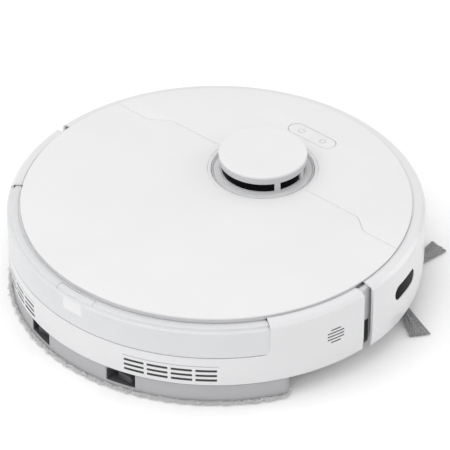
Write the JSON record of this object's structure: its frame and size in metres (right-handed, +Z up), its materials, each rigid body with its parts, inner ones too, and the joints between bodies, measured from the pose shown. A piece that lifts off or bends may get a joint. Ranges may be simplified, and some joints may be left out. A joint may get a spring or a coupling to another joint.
{
  "type": "robot vacuum",
  "caption": "Round low robot vacuum with a lidar turret, sprung front bumper, rear water tank and dust box, main brush, side brush and mop pad.",
  "frame": {"origin": "on the floor under the centre of the round body, 0.3 mm below the flat lower edge of the squeegee lip", "axes": "+Y is the driving direction, towards the bumper; +X is the robot's right-hand side, where the side brush sits; +Z is up"},
  "size_m": [0.3619, 0.3498, 0.0968],
  "materials": {
    "cover_white": "satin white moulded cover",
    "shell_white": "smooth white moulded shell",
    "pale_grey_plastic": "fine satin light grey",
    "mid_grey_plastic": "fine matte grey",
    "dark_plastic": "matte near-black",
    "black_window": "polished black infra-red window",
    "milky_tank": "milky translucent moulding",
    "black_rubber": "matte moulded rubber",
    "grey_bristle": "grey nylon bristles",
    "bare_metal": "plain plated metal",
    "circuit_board": "solder-masked board",
    "filter_paper": "pleated filter paper",
    "mop_fleece": "looped microfibre"
  },
  "bodies": {
    "chassis": {"chassis": "pale_grey_plastic", "rear_side_shell": "shell_white", "module_bay": "dark_plastic", "top_deck": "dark_plastic", "top_cover_rear": "cover_white", "top_cover_front": "cover_white", "button_panel": "pale_grey_plastic", "lidar_ring": "mid_grey_plastic", "turret_shell": "pale_grey_plastic", "turret_cap": "cover_white", "turret_window": "black_window", "lidar_motor": "bare_metal", "battery_pack": "dark_plastic", "battery_cover": "pale_grey_plastic", "mainboard": "circuit_board", "fan_housing": "dark_plastic", "speaker": "dark_plastic", "brush_motor": "dark_plastic", "side_brush_motor": "dark_plastic", "brush_guard": "mid_grey_plastic", "squeegee_lip": "black_rubber", "left_charge_contact": "bare_metal", "right_charge_contact": "bare_metal", "cliff_window_1": "black_window", "cliff_window_2": "black_window", "cliff_window_3": "black_window", "cliff_window_4": "black_window"},
    "bumper": {"bumper": "shell_white", "edge_sensor_window": "black_window", "dock_sensor_window": "black_window"},
    "power_button": {"power_button": "cover_white"},
    "home_button": {"home_button": "cover_white"},
    "lidar_rotor": {"lidar_rotor": "dark_plastic"},
    "fan_impeller": {"fan_impeller": "pale_grey_plastic"},
    "left_arm": {"left_wheel_arm": "dark_plastic", "left_drive_motor": "bare_metal"},
    "left_wheel": {"left_wheel_hub": "pale_grey_plastic", "left_tyre": "black_rubber"},
    "right_arm": {"right_wheel_arm": "dark_plastic", "right_drive_motor": "bare_metal"},
    "right_wheel": {"right_wheel_hub": "pale_grey_plastic", "right_tyre": "black_rubber"},
    "caster_fork": {"caster_fork": "dark_plastic"},
    "caster_wheel": {"caster_wheel": "dark_plastic"},
    "main_brush": {"main_brush_core": "dark_plastic", "main_brush_blades": "grey_bristle"},
    "side_brush": {"side_brush_hub": "mid_grey_plastic", "side_brush_tuft_1": "grey_bristle", "side_brush_tuft_2": "grey_bristle", "side_brush_tuft_3": "grey_bristle"},
    "dust_tank": {"tank_body": "milky_tank", "tank_plug": "black_rubber", "dust_box": "milky_tank", "dust_box_lid": "milky_tank", "dust_filter": "filter_paper"},
    "tank_latch": {"tank_latch": "milky_tank"},
    "mop_tray": {"mop_tray": "mid_grey_plastic", "mop_pad": "mop_fleece"},
    "left_mop_clip": {"left_mop_clip": "dark_plastic"},
    "right_mop_clip": {"right_mop_clip": "dark_plastic"}
  },
  "joints": [
    {"name": "bumper_press", "type": "slide", "parent": "chassis", "child": "bumper", "axis": [0, -1, 0], "range_m": [0, 0.004], "stiffness_N_per_m": 400},
    {"name": "power_button_press", "type": "slide", "parent": "chassis", "child": "power_button", "axis": [0, 0, -1], "range_m": [0, 0.0008], "stiffness_N_per_m": 500},
    {"name": "home_button_press", "type": "slide", "parent": "chassis", "child": "home_button", "axis": [0, 0, -1], "range_m": [0, 0.0008], "stiffness_N_per_m": 500},
    {"name": "lidar_spin", "type": "hinge", "parent": "chassis", "child": "lidar_rotor", "pos_m": [0, 0.0585, 0.085], "axis": [0, 0, 1], "continuous": true},
    {"name": "fan_spin", "type": "hinge", "parent": "chassis", "child": "fan_impeller", "pos_m": [0, -0.118, 0.033], "axis": [0, 0, 1], "continuous": true},
    {"name": "left_suspension", "type": "hinge", "parent": "chassis", "child": "left_arm", "pos_m": [-0.1, -0.03, 0.031], "axis": [-1, 0, 0], "range_deg": [0, 45], "stiffness_Nm_per_rad": 0.15, "springref_deg": 57.3},
    {"name": "right_suspension", "type": "hinge", "parent": "chassis", "child": "right_arm", "pos_m": [0.1, -0.03, 0.031], "axis": [-1, 0, 0], "range_deg": [0, 45], "stiffness_Nm_per_rad": 0.15, "springref_deg": 57.3, "deforming": ["side_brush_tuft_1", "side_brush_tuft_2", "side_brush_tuft_3"]},
    {"name": "left_wheel_spin", "type": "hinge", "parent": "left_arm", "child": "left_wheel", "pos_m": [-0.114, 0, 0.035], "axis": [1, 0, 0], "continuous": true},
    {"name": "right_wheel_spin", "type": "hinge", "parent": "right_arm", "child": "right_wheel", "pos_m": [0.114, 0, 0.035], "axis": [1, 0, 0], "continuous": true},
    {"name": "caster_swivel", "type": "hinge", "parent": "chassis", "child": "caster_fork", "pos_m": [0, 0.128, 0.028], "axis": [0, 0, 1], "continuous": true},
    {"name": "caster_spin", "type": "hinge", "parent": "caster_fork", "child": "caster_wheel", "pos_m": [0, 0.121, 0.012], "axis": [1, 0, 0], "continuous": true},
    {"name": "main_brush_spin", "type": "hinge", "parent": "chassis", "child": "main_brush", "pos_m": [0, 0.024, 0.024], "axis": [1, 0, 0], "continuous": true},
    {"name": "side_brush_spin", "type": "hinge", "parent": "chassis", "child": "side_brush", "pos_m": [0.1182, 0.0842, 0.007], "axis": [0, 0, 1], "continuous": true},
    {"name": "dust_tank_slide", "type": "slide", "parent": "chassis", "child": "dust_tank", "axis": [0, -1, 0], "range_m": [0, 0.18]},
    {"name": "tank_latch_press", "type": "slide", "parent": "dust_tank", "child": "tank_latch", "axis": [0, 0, -1], "range_m": [0, 0.002], "stiffness_N_per_m": 500},
    {"name": "mop_tray_slide", "type": "slide", "parent": "chassis", "child": "mop_tray", "axis": [0, -1, 0], "range_m": [0, 0.12]},
    {"name": "left_mop_clip_press", "type": "slide", "parent": "mop_tray", "child": "left_mop_clip", "axis": [0, 1, 0], "range_m": [0, 0.0022], "stiffness_N_per_m": 500},
    {"name": "right_mop_clip_press", "type": "slide", "parent": "mop_tray", "child": "right_mop_clip", "axis": [0, 1, 0], "range_m": [0, 0.0022], "stiffness_N_per_m": 500}
  ]
}
